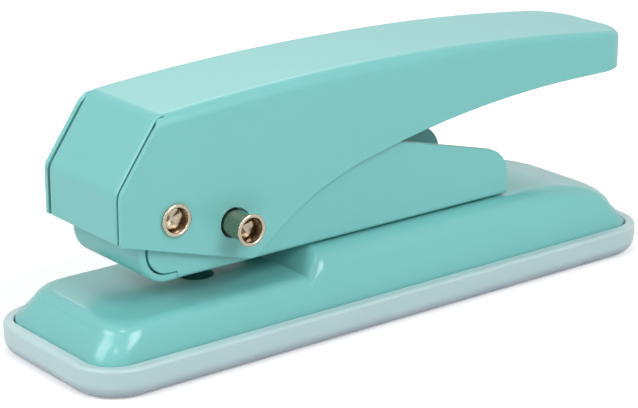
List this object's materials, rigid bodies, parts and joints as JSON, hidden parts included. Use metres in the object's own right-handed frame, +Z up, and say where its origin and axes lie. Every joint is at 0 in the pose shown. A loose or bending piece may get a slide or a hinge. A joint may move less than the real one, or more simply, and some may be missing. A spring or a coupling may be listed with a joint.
{
  "type": "single hole punch",
  "caption": "Small desk punch: an arched sheet-metal lever on a riveted frame drives a round punch through paper into a die, over a base with a pull-off chip tray.",
  "frame": {"origin": "centre of the chip tray's flat underside", "axes": "+X towards the hand end, +Y to the far side, +Z up"},
  "size_m": [0.12, 0.035, 0.044],
  "materials": {
    "enamel": "satin blue-green enamel on pressed sheet steel",
    "tray_plastic": "milky soft plastic, moulded",
    "nickel_plate": "warm nickel plate on steel",
    "tool_steel": "ground tool steel",
    "plain_steel": "zinc-plated mild steel",
    "spring_steel": "drawn spring wire"
  },
  "bodies": {
    "tray": {"chip_tray": "tray_plastic"},
    "stand": {"base_shell": "enamel", "die_bush": "tool_steel", "frame_channel": "enamel", "front_frame_rivet": "plain_steel", "rear_frame_rivet": "plain_steel", "guide_bush": "tool_steel", "pivot_spacer": "plain_steel", "return_spring": "spring_steel"},
    "lever": {"lever": "enamel", "pivot_rivet": "nickel_plate", "spring_cup": "plain_steel"},
    "punch": {"punch_pin": "tool_steel"},
    "drive_pin": {"drive_pin": "nickel_plate"}
  },
  "joints": [
    {"name": "tray_release", "type": "slide", "parent": "tray", "child": "stand", "axis": [0, 0, 1], "range_m": [0, 0.015]},
    {"name": "lever_press", "type": "hinge", "parent": "stand", "child": "lever", "pos_m": [-0.0412, 0, 0.0252], "axis": [0, 1, 0], "range_deg": [0, 12], "stiffness_Nm_per_rad": 0.6, "springref_deg": -20.05, "deforming": ["return_spring"]},
    {"name": "punch_slide", "type": "slide", "parent": "stand", "child": "punch", "axis": [0, 0, -1], "range_m": [0, 0.00268]},
    {"name": "drive_pin_float", "type": "slide", "parent": "punch", "child": "drive_pin", "axis": [0, 1, 0], "range_m": [0, 0.0042]}
  ],
  "couplings": [
    {"joint": "punch_slide", "follows": "lever_press", "m_per_rad": 0.012756}
  ]
}
